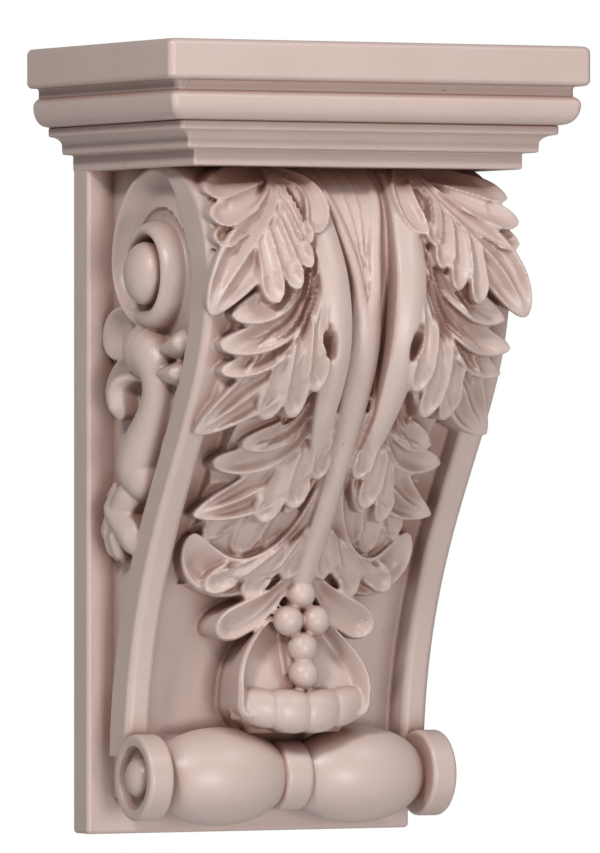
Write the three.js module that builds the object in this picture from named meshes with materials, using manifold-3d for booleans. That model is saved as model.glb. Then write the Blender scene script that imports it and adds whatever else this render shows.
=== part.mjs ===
// A scroll corbel cast in one piece: a moulded cap over a back plate, two side ribbons that wind into
// volutes, acanthus leaves hanging down the front, a drop of beads in a husk, and a turned roll at the foot.
// Millimetres. +X is the corbel's left-to-right, the front faces -Y and +Z is up.
// The origin is on the wall face, halfway up. Depths count out from the wall, heights up from the foot.

import * as THREE from "three";
import { mergeVertices } from "three/addons/utils/BufferGeometryUtils.js";
import Module from "manifold-3d";

const wasm = await Module();
wasm.setup();

// Driving dimensions

const HEIGHT = 400;
const MOUNT_HEIGHT = HEIGHT / 2;
const WELD = 1e-3;

const PLATE = { half: 92.5, depth: 16, tuck: 2 };

const CAP = { foot: 338, half: 93, depth: 139 };
const CAP_PROFILE = [
  { out: 0, up: 0 },
  { out: 0, up: 8 },
  { out: 6, up: 8.4 },
  { out: 6.3, up: 12.5 },
  { out: 8.5, up: 15.8 },
  { out: 12.8, up: 17.4 },
  { out: 13.8, up: 21.5 },
  { out: 15.6, up: 22.5 },
  { out: 20, up: 25.5 },
  { out: 22.4, up: 30.5 },
  { out: 22.4, up: 34 },
  { out: 19.6, up: 37.4 },
  { out: 19.6, up: 41.5 },
  { out: 24.5, up: 42.3 },
  { out: 26, up: 44.5 },
  { out: 26, up: 59.5 },
  { out: 24, up: 62 },
];

const RIBBON = { inner: 72, outer: 86, thick: 21, steps: 9 };
const CORE = { half: 78, foot: 18, top: 341, brow: 4, back: 8, sunk: 16, steps: 12 };
const SADDLE = { depth: 43, top: 48, drop: 4 };

const VOLUTE = {
  depth: 74,
  height: 285,
  radius: 67,
  decay: 0.1267,
  shoulder: 0.06,
  ring: 29,
  ringDecay: 0.02,
  ringFrom: 0.95 * Math.PI,
  ringFull: 1.5 * Math.PI,
  turn: 1.72 * Math.PI,
  steps: 16,
  band: 16,
  bandEnd: 7,
  disc: 79,
};
const VOLUTE_DOME = { radius: 28, proud: 10, seat: 78, sides: 12, rings: 8 };
const VOLUTE_EYE = { radius: 16, proud: 10, seat: 88, sides: 10, rings: 6 };

const SWAY = { start: [141, 285], lead: [142, 207], trail: [52, 165], foot: [47, 40] };
const CROWN_ANGLE = (5 / 12) * Math.PI;
const HALVINGS = 24;

const ROLL = { depth: 57.5, height: 30, sides: 14, disc: 22, discInner: 73.8, discOuter: 87.5, arris: 2 };
const RING = { radius: 17.7, half: 8 };
const OVOID = { centre: 39, half: 39, radius: 25, steps: 5 };
const BUTTON = { radius: 10.5, proud: 2.5, recess: 5, rim: 16 };

const RELIEF = {
  ground: 4,
  crown: 11,
  sink: 24,
  rest: 1.5,
  crownTop: [235, 312],
  crownFoot: [95, 172],
  shoulder: [44, 82],
  lowShoulder: [18, 68],
  edge: 0.35,
  lowEdge: -0.35,
  shoulderTurn: [185, 232],
};
const PLAIN_LOBE = { dish: 1.8, flutes: 1, cells: 3, root: 0.5, tip: 0.6, droop: 2.5 };
const LOBE = { swellEnd: 0.65, roundFrom: 0.72, quickStart: 0.35, hollowFull: 0.3 };
const LEAF_TOP = CAP.foot + 1;
const BED = { foot: 172, narrow: 24, wide: 48, swellEnd: 235, under: 2.5, dip: 8, columns: 4, rows: 6 };
const STEM = { narrow: 6.5, wide: 9.5, flare: 9.5, proud: 3, sunk: 9, columns: 2, rows: 10 };
const STEM_SPAN = { widen: [190, 260], flare: [296, 340], sink: [178, 235] };
const BEAD = { radius: 7.6, depth: 72, lowest: 82, drop: 13.6, lean: 1.2, pair: 0.96, sides: 8, rings: 5 };
const HUSK = {
  top: 118,
  foot: 50,
  half: 38,
  mouth: 0.12,
  flareEnd: 0.68,
  tuckFrom: 0.72,
  tuck: 0.6,
  wallTaper: 0.68,
  rim: [10, 31],
  rimEnd: 0.75,
  scoop: 14,
  scoopEnd: 0.72,
  lipFrom: 0.58,
  lipProud: 3,
  lipLobe: 3,
  lobes: 4,
  underFrom: 0.85,
  under: 9,
  rows: 7,
  columns: 10,
};

const CASTING = new THREE.MeshStandardMaterial({ color: 0xc6afa6, roughness: 0.55, metalness: 0 });

// Small tools

const { clamp, lerp, smoothstep } = THREE.MathUtils;
const place = (x, depth, height) => new THREE.Vector3(x, -depth, height - MOUNT_HEIGHT);
const fall = (value, from, to) => 1 - smoothstep(value, from, to);

function solid(geometry) {
  const bare = new THREE.BufferGeometry().setAttribute("position", geometry.getAttribute("position"));
  bare.setIndex(geometry.index);
  const merged = mergeVertices(bare, WELD);
  const vertProperties = merged.getAttribute("position").array;
  const triVerts = new Uint32Array(merged.index.array);
  const made = new wasm.Manifold(new wasm.Mesh({ numProp: 3, vertProperties, triVerts }));
  if (made.volume() > 0) return made;
  const turned = triVerts.map((_, i) => triVerts[i - (i % 3) + ((3 - (i % 3)) % 3)]);
  return new wasm.Manifold(new wasm.Mesh({ numProp: 3, vertProperties, triVerts: turned }));
}

// A box of square cells whose corners are moved by a formula of three shares, each from 0 to 1.
function shaped(columns, rows, layers, formula) {
  const box = new THREE.BoxGeometry(1, 1, 1, columns, rows, layers);
  const corners = box.getAttribute("position");
  for (let i = 0; i < corners.count; i++) {
    const moved = formula(corners.getX(i) + 0.5, corners.getY(i) + 0.5, corners.getZ(i) + 0.5);
    corners.setXYZ(i, moved.x, moved.y, moved.z);
  }
  return solid(box);
}

// An outline of depths and heights, drawn out between two places across the corbel.
function drawn(outline, from, to) {
  const shape = new THREE.Shape(outline);
  const geometry = new THREE.ExtrudeGeometry(shape, { depth: to - from, bevelEnabled: false });
  const corners = geometry.getAttribute("position");
  for (let i = 0; i < corners.count; i++) {
    const moved = place(from + corners.getZ(i), corners.getX(i), corners.getY(i));
    corners.setXYZ(i, moved.x, moved.y, moved.z);
  }
  return solid(geometry);
}

function ball(centre, radii, sides, rings, tilt = 0) {
  const geometry = new THREE.SphereGeometry(1, sides, rings);
  geometry.scale(radii.x, radii.y, radii.z);
  geometry.rotateX(tilt);
  geometry.translate(centre.x, centre.y, centre.z);
  return solid(geometry);
}

const steps = (count) => Array.from({ length: count + 1 }, (_, i) => i / count);
const bothSides = (make) => [-1, 1].map(make);
const joined = (pieces) => pieces.reduce((whole, piece) => whole.add(piece));

// The front line of the ribbons, seen from the side

const sway = new THREE.CubicBezierCurve(
  new THREE.Vector2(...SWAY.start),
  new THREE.Vector2(...SWAY.lead),
  new THREE.Vector2(...SWAY.trail),
  new THREE.Vector2(...SWAY.foot),
);

function spiralRadius(angle) {
  const shoulder = angle < Math.PI / 2 ? VOLUTE.shoulder * Math.sin(2 * angle) ** 2 : 0;
  const wide = VOLUTE.radius * Math.exp(-VOLUTE.decay * angle) * (1 + shoulder);
  const close = VOLUTE.ring * Math.exp(VOLUTE.ringDecay * (VOLUTE.ringFull - angle));
  return lerp(wide, close, smoothstep(angle, VOLUTE.ringFrom, VOLUTE.ringFull));
}

function spiralPoint(angle, inset = 0) {
  const radius = spiralRadius(angle) - inset;
  return new THREE.Vector2(VOLUTE.depth + radius * Math.cos(angle), VOLUTE.height + radius * Math.sin(angle));
}

// How far out the ribbons' front is at a height: the sway below the volute's centre, the spiral above it.
function frontDepth(height) {
  const below = height < VOLUTE.height;
  const line = below ? (share) => sway.getPoint(1 - share) : (share) => spiralPoint(share * CROWN_ANGLE);
  let low = 0;
  let high = 1;
  for (let i = 0; i < HALVINGS; i++) {
    const middle = (low + high) / 2;
    if (line(middle).y < height) low = middle;
    else high = middle;
  }
  return line(low).x;
}

// Cap, plate, core and ribbons

// The cap's layers follow its profile on the front and both ends, and its back is flush with the wall.
function cap() {
  const last = CAP_PROFILE.length - 1;
  return shaped(1, 1, last, (across, outward, layer) => {
    const { out, up } = CAP_PROFILE[Math.round(layer * last)];
    return place((2 * across - 1) * (CAP.half + out), outward * (CAP.depth + out), CAP.foot + up);
  });
}

function plate() {
  const tall = CAP.foot + PLATE.tuck;
  const geometry = new THREE.BoxGeometry(2 * PLATE.half, PLATE.depth, tall);
  geometry.translate(0, -PLATE.depth / 2, tall / 2 - MOUNT_HEIGHT);
  return solid(geometry);
}

function core() {
  const front = steps(CORE.steps).map((share) => {
    const height = lerp(SADDLE.top, CORE.top - CORE.brow, share);
    return new THREE.Vector2(frontDepth(height) - CORE.sunk, height);
  });
  const outline = [
    new THREE.Vector2(CORE.back, CORE.foot),
    new THREE.Vector2(SADDLE.depth, CORE.foot),
    new THREE.Vector2(SADDLE.depth, SADDLE.top - SADDLE.drop),
    ...front,
    new THREE.Vector2(VOLUTE.depth, CORE.top),
    new THREE.Vector2(CORE.back, CORE.top),
  ];
  return drawn(outline, -CORE.half, CORE.half);
}

function ribbonOutline() {
  const rise = steps(RIBBON.steps).map((share) => sway.getPoint(1 - share));
  const back = rise.map((p) => new THREE.Vector2(p.x - RIBBON.thick, p.y)).reverse();
  const turns = steps(VOLUTE.steps).map((share) => share * VOLUTE.turn);
  const outer = turns.slice(1).map((angle) => spiralPoint(angle));
  const inner = turns
    .slice(1)
    .map((angle) => spiralPoint(angle, lerp(VOLUTE.band, VOLUTE.bandEnd, angle / VOLUTE.turn)))
    .reverse();
  return [...rise, ...outer, ...inner, ...back];
}

function voluteOutline() {
  return steps(VOLUTE.steps).map((share) => spiralPoint(share * VOLUTE.turn));
}

function scroll(side) {
  const across = (from, to) => (side > 0 ? [from, to] : [-to, -from]);
  const dome = ball(
    place(side * VOLUTE_DOME.seat, VOLUTE.depth, VOLUTE.height),
    new THREE.Vector3(VOLUTE_DOME.proud, VOLUTE_DOME.radius, VOLUTE_DOME.radius),
    VOLUTE_DOME.sides,
    VOLUTE_DOME.rings,
  );
  const eye = ball(
    place(side * VOLUTE_EYE.seat, VOLUTE.depth, VOLUTE.height),
    new THREE.Vector3(VOLUTE_EYE.proud, VOLUTE_EYE.radius, VOLUTE_EYE.radius),
    VOLUTE_EYE.sides,
    VOLUTE_EYE.rings,
  );
  return [
    drawn(ribbonOutline(), ...across(RIBBON.inner, RIBBON.outer)),
    drawn(voluteOutline(), ...across(RIBBON.inner, VOLUTE.disc)),
    dome,
    eye,
  ];
}

// Foot roll

function rollProfile() {
  const ovoid = steps(OVOID.steps).map((share) => {
    const x = lerp(RING.half, ROLL.discInner, share);
    return [OVOID.radius * Math.sqrt(1 - ((x - OVOID.centre) / OVOID.half) ** 2), x];
  });
  const face = ROLL.discOuter;
  return [
    [RING.radius, 0],
    [RING.radius, RING.half],
    ...ovoid,
    [ROLL.disc, ROLL.discInner],
    [ROLL.disc, face - ROLL.arris],
    [ROLL.disc - ROLL.arris, face],
    [BUTTON.rim, face],
    [BUTTON.rim - ROLL.arris, face - BUTTON.recess],
    [BUTTON.radius, face - BUTTON.recess],
    [0, face + BUTTON.proud],
  ];
}

function roll() {
  const half = rollProfile();
  const whole = [...half.slice(1).map(([r, x]) => [r, -x]).reverse(), ...half];
  const geometry = new THREE.LatheGeometry(
    whole.map(([r, x]) => new THREE.Vector2(r, x)),
    ROLL.sides,
  );
  geometry.rotateZ(-Math.PI / 2);
  geometry.translate(0, -ROLL.depth, ROLL.height - MOUNT_HEIGHT);
  return solid(geometry);
}

// Leaf carving, laid over the front line

// How far the leaves' ground stands in front of the ribbons.
function relief(x, height) {
  const rise = fall(height, ...RELIEF.crownTop) * smoothstep(height, ...RELIEF.crownFoot);
  const high = smoothstep(height, ...RELIEF.shoulderTurn);
  const [start, end] = RELIEF.lowShoulder.map((low, i) => lerp(low, RELIEF.shoulder[i], high));
  const edge = lerp(RELIEF.lowEdge, RELIEF.edge, high);
  const spread = lerp(1, edge, smoothstep(Math.abs(x), start, end));
  return RELIEF.ground + RELIEF.crown * rise * spread;
}

function curve(points) {
  const flat = points.map(([x, height]) => new THREE.Vector2(x, height));
  if (flat.length === 2) return new THREE.LineCurve(...flat);
  return flat.length === 3 ? new THREE.QuadraticBezierCurve(...flat) : new THREE.CubicBezierCurve(...flat);
}

// A lobe's breadth along its length: narrow at the root, full past the middle and round at the tip.
function breadth(share, root, tip) {
  const swell = lerp(root, 1, smoothstep(share, 0, LOBE.swellEnd));
  const round = clamp((share - LOBE.roundFrom) / (1 - LOBE.roundFrom), 0, 1);
  return swell * Math.sqrt(1 - round ** 2 * (1 - tip ** 2));
}

// One lobe of a leaf: a dished tongue along a path of x and height, with raised rims and a thick end.
function lobe(side, sizes) {
  const { path, half, rise, dish, flutes, cells, root, tip, droop } = { ...PLAIN_LOBE, ...sizes };
  const spine = curve(path);
  return shaped(cells, 2 * flutes, 1, (along, across, layer) => {
    const share = lerp(along, Math.sqrt(along), LOBE.quickStart);
    const point = spine.getPoint(share);
    const heading = spine.getTangent(share);
    const offset = (2 * across - 1) * half * breadth(share, root, tip);
    const x = point.x - heading.y * offset;
    const height = point.y + heading.x * offset;
    const hollow = dish * Math.sin(Math.PI * flutes * across) ** 2 * smoothstep(share, 0, LOBE.hollowFull);
    const top = relief(x, height) + lerp(rise[0], rise[1], share) - hollow - droop * share ** 4;
    return place(side * x, frontDepth(height) + (layer > 0.5 ? top : -RELIEF.sink), height);
  });
}

const SPRAY = [
  { path: [[40, 339], [56, 304], [90, 263]], half: 12, rise: [4, 8], flutes: 2, cells: 5, root: 0.3 },
  { path: [[44, 334], [62, 330], [84, 322]], half: 5, rise: [4, 6] },
  { path: [[50, 322], [64, 312], [86, 310]], half: 6, rise: [4, 7] },
  { path: [[60, 308], [72, 301], [85, 300]], half: 4.5, rise: [3, 5] },
  { path: [[42, 332], [30, 326], [29, 308]], half: 6, rise: [5, 8] },
  { path: [[48, 318], [43, 304], [38, 290]], half: 4.5, rise: [5, 7] },
  { path: [[53, 311], [49, 296], [46, 282]], half: 5, rise: [5, 7.5] },
  { path: [[58, 306], [56, 291], [57, 276]], half: 5.5, rise: [5, 8] },
];

const UPPER_LEAF = [
  { path: [[27, 312], [31, 272], [75, 264]], half: 8, rise: [1, 3], cells: 4 },
  { path: [[25, 300], [33, 256], [80, 249]], half: 8.5, rise: [1, 4], cells: 4, dish: 2.5 },
  { path: [[25, 286], [36, 246], [77, 236]], half: 6.5, rise: [1, 3], cells: 4 },
  { path: [[24, 284], [36, 238], [80, 205]], half: 12, rise: [1, 3], flutes: 2, cells: 4, tip: 0.4 },
  { path: [[28, 264], [31, 246], [27, 228]], half: 5.5, rise: [1, 5] },
  { path: [[37, 252], [39, 234], [36, 216]], half: 5.5, rise: [1, 4.5] },
  { path: [[45, 245], [49, 230], [49, 215]], half: 5.5, rise: [1, 4] },
  { path: [[17, 339], [15, 290], [10, 196]], half: 6.5, rise: [2, 3], cells: 5, dish: 1.2 },
];

const LOWER_LEAF = [
  { path: [[14, 224], [28, 202], [54, 199]], half: 6.5, rise: [1, 3] },
  { path: [[12, 214], [28, 188], [64, 190]], half: 7, rise: [1, 3] },
  { path: [[10, 207], [22, 174], [67, 164]], half: 12, rise: [1, 3], flutes: 2, cells: 5, tip: 0.4 },
  { path: [[11, 208], [8, 197], [5, 183]], half: 5.5, rise: [2, 4] },
  { path: [[16, 198], [18, 184], [15, 168]], half: 6.5, rise: [2, 4] },
  { path: [[24, 187], [30, 174], [31, 161]], half: 6, rise: [2, 4] },
  { path: [[24, 170], [31, 158], [33, 146]], half: 9, rise: [-4, -4] },
];

const PALMETTE = [
  { path: [[2, 184], [5, 120], [58, 120], [64, 158]], half: 7, rise: [1, 0], dish: 2.5, cells: 6, tip: 0.7 },
  { path: [[18, 145], [34, 137], [52, 125]], half: 6, rise: [0, 3] },
  { path: [[9, 150], [20, 138], [30, 122]], half: 6, rise: [1, 3] },
  { path: [[2, 156], [6, 146], [10, 131]], half: 5.5, rise: [1, 2] },
  { path: [[8, 130], [20, 112], [45, 104]], half: 8, rise: [2, 7], dish: 3, cells: 4 },
];

// The plain bed under the lobes, wide above and narrowing to the drop, with a valley down its middle.
function leafBed() {
  return shaped(BED.columns, BED.rows, 1, (across, up, layer) => {
    const height = lerp(BED.foot, LEAF_TOP, up);
    const side = 2 * across - 1;
    const x = side * lerp(BED.narrow, BED.wide, smoothstep(height, BED.foot, BED.swellEnd));
    const valley = BED.dip * (1 - Math.abs(side)) ** 2 * smoothstep(height, ...STEM_SPAN.sink);
    const top = relief(x, height) - BED.under - valley;
    return place(x, frontDepth(height) + (layer > 0.5 ? top : -RELIEF.sink), height);
  });
}

// The stem runs from under the cap down the middle, sunk between the leaves, and on behind the beads.
function stem() {
  return shaped(STEM.columns, STEM.rows, 1, (across, up, layer) => {
    const height = lerp(BEAD.lowest, LEAF_TOP, up);
    const flare = STEM.flare * smoothstep(height, ...STEM_SPAN.flare);
    const half = lerp(STEM.narrow, STEM.wide, smoothstep(height, ...STEM_SPAN.widen)) + flare;
    const proud = lerp(STEM.proud, -STEM.sunk, smoothstep(height, ...STEM_SPAN.sink));
    const top = Math.max(frontDepth(height) + relief(0, height) + proud, BEAD.depth);
    return place((2 * across - 1) * half, layer > 0.5 ? top : frontDepth(height) - RELIEF.sink, height);
  });
}

// The space beside the core and behind a ribbon's front, where no leaf reaches.
function besideRibbon(side) {
  const front = steps(CORE.steps).map((share) => {
    const height = lerp(SADDLE.top, CAP.foot, share);
    return new THREE.Vector2(frontDepth(height) - RELIEF.rest, height);
  });
  const outline = [...front, new THREE.Vector2(0, CAP.foot), new THREE.Vector2(0, SADDLE.top)];
  const reach = [CORE.half + RELIEF.rest, 2 * CORE.half];
  return drawn(outline, ...(side > 0 ? reach : reach.map((x) => -x).reverse()));
}

function leaves() {
  const lobes = [...SPRAY, ...UPPER_LEAF, ...LOWER_LEAF, ...PALMETTE];
  const carved = joined([leafBed(), stem(), ...lobes.flatMap((one) => bothSides((side) => lobe(side, one)))]);
  return bothSides(besideRibbon).reduce((rest, space) => rest.subtract(space), carved);
}

// Drop of beads in its husk

function beads() {
  const radii = new THREE.Vector3(BEAD.radius, BEAD.radius, BEAD.radius);
  const pair = BEAD.radius * BEAD.pair;
  const rows = [[0], [0], [-pair, pair], [0]];
  return rows.flatMap((row, i) =>
    row.map((x) => {
      const centre = place(x, BEAD.depth + BEAD.lean * (rows.length - i), BEAD.lowest + i * BEAD.drop);
      return ball(centre, radii, BEAD.sides, BEAD.rings);
    }),
  );
}

function husk() {
  return shaped(HUSK.columns, HUSK.rows, 1, (across, up, layer) => {
    const down = 1 - up;
    const side = 2 * across - 1;
    const flare = Math.sin((Math.min(down / HUSK.flareEnd, 1) * Math.PI) / 2);
    const tuck = Math.sqrt(1 - HUSK.tuck * smoothstep(down, HUSK.tuckFrom, 1) ** 2);
    const half = HUSK.half * lerp(HUSK.mouth, 1, flare) * tuck;
    const height = lerp(HUSK.foot, HUSK.top, up);
    if (layer < 0.5) return place(side * half * HUSK.wallTaper, frontDepth(height) - RELIEF.sink, height);
    const rim = lerp(...HUSK.rim, smoothstep(down, 0, HUSK.rimEnd));
    const scoop = HUSK.scoop * Math.sin(Math.PI * clamp(down / HUSK.scoopEnd, 0, 1)) * (1 - side ** 2);
    const roundLip = Math.sin(Math.PI * clamp((down - HUSK.lipFrom) / (1 - HUSK.lipFrom), 0, 1));
    const notch = Math.abs(Math.sin((Math.PI * HUSK.lobes * side) / 2));
    const lip = roundLip * (HUSK.lipProud + HUSK.lipLobe * notch);
    const under = HUSK.under * smoothstep(down, HUSK.underFrom, 1);
    return place(side * half, frontDepth(height) + rim - scoop + lip - under, height);
  });
}

// Ornament on the side panels

const SIDE_MESH = { sides: 8, rings: 5 };
const SIDE_FORMS = [
  { depth: 71, height: 234, length: 19, girth: 12, proud: 13, tilt: -0.15 },
  { depth: 66, height: 212, length: 26, girth: 14, proud: 11, tilt: 1.25 },
  { depth: 62, height: 192, length: 20, girth: 14, proud: 13, tilt: 0.25 },
  { depth: 47, height: 222, length: 17, girth: 8, proud: 10, tilt: 0.4 },
  { depth: 52, height: 249, length: 30, girth: 8, proud: 9, tilt: 0.1 },
  { depth: 96, height: 244, length: 14, girth: 6, proud: 8, tilt: -0.2 },
  { depth: 97, height: 229, length: 13, girth: 7, proud: 9, tilt: 0.5 },
  { depth: 48, height: 156, length: 22, girth: 17, proud: 12, tilt: 0.35 },
];

function sideForms(side) {
  return SIDE_FORMS.map(({ depth, height, length, girth, proud, tilt }) => {
    const centre = place(side * CORE.half, depth, height);
    return ball(centre, new THREE.Vector3(proud, length, girth), SIDE_MESH.sides, SIDE_MESH.rings, -tilt);
  });
}

// One casting

function casting() {
  const pieces = [
    plate(),
    cap(),
    core(),
    ...bothSides(scroll).flat(),
    roll(),
    leaves(),
    ...beads(),
    husk(),
    ...bothSides(sideForms).flat(),
  ];
  return joined(pieces);
}

function meshOf(body) {
  const { vertProperties, triVerts } = body.getMesh();
  const geometry = new THREE.BufferGeometry();
  geometry.setAttribute("position", new THREE.BufferAttribute(vertProperties, 3));
  geometry.setIndex(new THREE.BufferAttribute(triVerts, 1));
  geometry.computeVertexNormals();
  return geometry;
}

const corbel = new THREE.Mesh(meshOf(casting()), CASTING);
corbel.name = "corbel";

const part = new THREE.Group();
part.add(corbel);

export default part;
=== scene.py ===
"""A scroll corbel cast in one piece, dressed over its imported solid.

Sizes are in millimetres until a point is placed. Depths count out from the wall, heights up from the plate's
foot, and what is carved on one half is mirrored on the other.
"""

import bisect
import logging
import math
from collections.abc import Callable
from dataclasses import dataclass, field
from enum import Enum

import bmesh
import bpy
from mathutils import Matrix, Vector


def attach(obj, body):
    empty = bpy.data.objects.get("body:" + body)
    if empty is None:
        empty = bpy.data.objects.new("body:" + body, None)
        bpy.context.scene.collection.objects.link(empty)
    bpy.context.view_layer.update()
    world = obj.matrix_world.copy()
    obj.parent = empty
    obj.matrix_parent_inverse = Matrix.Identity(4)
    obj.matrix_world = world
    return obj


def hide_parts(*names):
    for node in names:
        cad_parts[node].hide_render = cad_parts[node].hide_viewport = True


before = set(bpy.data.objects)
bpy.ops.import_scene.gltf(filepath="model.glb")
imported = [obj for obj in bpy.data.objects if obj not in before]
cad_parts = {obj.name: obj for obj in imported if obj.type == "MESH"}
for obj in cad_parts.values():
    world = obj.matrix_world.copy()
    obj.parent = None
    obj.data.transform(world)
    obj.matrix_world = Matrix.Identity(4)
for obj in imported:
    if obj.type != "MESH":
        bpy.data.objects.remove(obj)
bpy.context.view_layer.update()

LOG = logging.getLogger("corbel")
MM = 0.001
MOUNT_HEIGHT = 200.0
NODE = "corbel"
BODY = "root"
SIDES = (-1.0, 1.0)

Point = tuple[float, float]
Formula = Callable[[float, float, bool], Vector]


def mix(low: float, high: float, share: float) -> float:
    """Go from low to high by a share."""
    return low + (high - low) * share


def held(value: float) -> float:
    """Hold a value between nothing and one."""
    return min(max(value, 0.0), 1.0)


def ease(value: float, low: float, high: float) -> float:
    """Rise smoothly from 0 at low to 1 at high."""
    share = held((value - low) / (high - low))
    return share * share * (3.0 - 2.0 * share)


def place(across: float, depth: float, height: float) -> Vector:
    """Turn a place on the corbel, in millimetres, into a point of the frame."""
    return Vector((across, -depth, height - MOUNT_HEIGHT)) * MM


class Tip(Enum):
    """How a lobe ends: the share of its length where the taper starts, and the taper's power."""

    ROUND = (0.76, 0.5)
    SPOON = (0.6, 0.55)
    POINTED = (0.55, 0.65)


@dataclass(frozen=True)
class Curve:
    """A Bezier curve in the flat, over any number of control points."""

    points: tuple[Point, ...]

    def trace(self, share: float) -> tuple[Vector, Vector]:
        """Find a point on the curve.

        Args:
            share: How far along, from 0 to 1.

        Returns:
            The point and the unit heading there.
        """
        row = [Vector(point) for point in self.points]
        while len(row) > 2:
            row = [a.lerp(b, share) for a, b in zip(row, row[1:])]
        return row[0].lerp(row[1], share), (row[1] - row[0]).normalized()


@dataclass
class FrontLine:
    """The ribbons' front seen from the side: a sway that winds into a spiral."""

    sway: Curve = Curve(((47, 40), (52, 165), (142, 207), (141, 285)))
    centre: Point = (74.0, 285.0)
    radius: float = 67.0
    decay: float = 0.1267
    shoulder: float = 0.06
    ring: float = 29.0
    ring_decay: float = 0.02
    ring_from: float = 0.95 * math.pi
    ring_full: float = 1.5 * math.pi
    crown_angle: float = math.radians(78)
    samples: int = 400
    heights: list[float] = field(default_factory=list)
    depths: list[float] = field(default_factory=list)

    def __post_init__(self) -> None:
        """Note the line's depth at many heights."""
        shares = [i / self.samples for i in range(self.samples + 1)]
        line = [self.sway.trace(share)[0] for share in shares]
        line += [self.wound(share * self.crown_angle) for share in shares[1:]]
        self.depths = [point.x for point in line]
        self.heights = [point.y for point in line]

    def spiral(self, angle: float) -> float:
        """Give the spiral's radius at an angle wound from the front.

        Args:
            angle: The angle.

        Returns:
            The radius.
        """
        square = math.sin(2 * angle) ** 2 if 0 < angle < math.pi / 2 else 0.0
        wide = self.radius * math.exp(-self.decay * angle) * (1 + self.shoulder * square)
        close = self.ring * math.exp(self.ring_decay * (self.ring_full - angle))
        return mix(wide, close, ease(angle, self.ring_from, self.ring_full))

    def wound(self, angle: float) -> Vector:
        """Give a point on the spiral."""
        reach = self.spiral(angle)
        return Vector((self.centre[0] + reach * math.cos(angle), self.centre[1] + reach * math.sin(angle)))

    def depth(self, height: float) -> float:
        """Give how far out the ribbons' front is at a height.

        Args:
            height: The height.

        Returns:
            The depth.
        """
        after = min(max(bisect.bisect_left(self.heights, height), 1), len(self.heights) - 1)
        low, high = self.heights[after - 1], self.heights[after]
        return mix(self.depths[after - 1], self.depths[after], held((height - low) / (high - low)))


class Clay:
    """Closed lumps gathered in one mesh before they are fused."""

    def __init__(self) -> None:
        """Start with nothing gathered."""
        self.heap = bmesh.new()

    def press(self, lump: bmesh.types.BMesh) -> None:
        """Add one closed lump, with its faces outwards.

        Args:
            lump: The lump, which is freed.
        """
        bmesh.ops.recalc_face_normals(lump, faces=lump.faces[:])
        shape = bpy.data.meshes.new("lump")
        lump.to_mesh(shape)
        lump.free()
        self.heap.from_mesh(shape)
        bpy.data.meshes.remove(shape)

    def block(self, columns: int, rows: int, formula: Formula) -> None:
        """Add a slab of cells whose corners a formula moves.

        Args:
            columns: Cells along the slab.
            rows: Cells across the slab.
            formula: Gives a point for two shares, along and across, and for top or bottom.
        """
        lump = bmesh.new()
        bmesh.ops.create_grid(lump, x_segments=columns, y_segments=rows, size=0.5)
        raised = bmesh.ops.extrude_face_region(lump, geom=lump.faces[:])["geom"]
        top = [item for item in raised if isinstance(item, bmesh.types.BMVert)]
        bmesh.ops.translate(lump, vec=(0, 0, 1), verts=top)
        for corner in lump.verts:
            corner.co = formula(corner.co.x + 0.5, corner.co.y + 0.5, corner.co.z > 0.5)
        self.press(lump)

    def ball(self, centre: Vector, radii: Vector) -> None:
        """Add an egg-shaped lump.

        Args:
            centre: Its middle, in the frame.
            radii: Its three half sizes, in millimetres.
        """
        lump = bmesh.new()
        bmesh.ops.create_icosphere(lump, subdivisions=4, radius=1.0)
        shape = Matrix.Translation(centre) @ Matrix.Diagonal((*(radii * MM), 1.0))
        bmesh.ops.transform(lump, matrix=shape, verts=lump.verts[:])
        self.press(lump)

    def piece(self, name: str) -> bpy.types.Object:
        """Hand over the gathered lumps as one object."""
        return piece_of(self.heap, name)


def piece_of(lump: bmesh.types.BMesh, name: str) -> bpy.types.Object:
    """Make an object of a finished bmesh, which is freed.

    Args:
        lump: The bmesh.
        name: The object's name.

    Returns:
        The linked object.
    """
    shape = bpy.data.meshes.new(name)
    lump.to_mesh(shape)
    lump.free()
    piece = bpy.data.objects.new(name, shape)
    bpy.context.scene.collection.objects.link(piece)
    return piece


def settle(piece: bpy.types.Object) -> None:
    """Make a piece's modifiers part of its mesh.

    Args:
        piece: The piece.
    """
    graph = bpy.context.evaluated_depsgraph_get()
    shape = bpy.data.meshes.new_from_object(piece.evaluated_get(graph))
    worn = piece.data
    piece.modifiers.clear()
    piece.data = shape
    bpy.data.meshes.remove(worn)


def fuse(base: bpy.types.Object, other: bpy.types.Object) -> None:
    """Join another closed piece into a base, and drop it.

    Args:
        base: The piece that grows.
        other: The piece that is dropped.
    """
    union = base.modifiers.new("union", "BOOLEAN")
    union.operation = "UNION"
    union.solver = "MANIFOLD"
    union.object = other
    settle(base)
    worn = other.data
    bpy.data.objects.remove(other)
    bpy.data.meshes.remove(worn)


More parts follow.
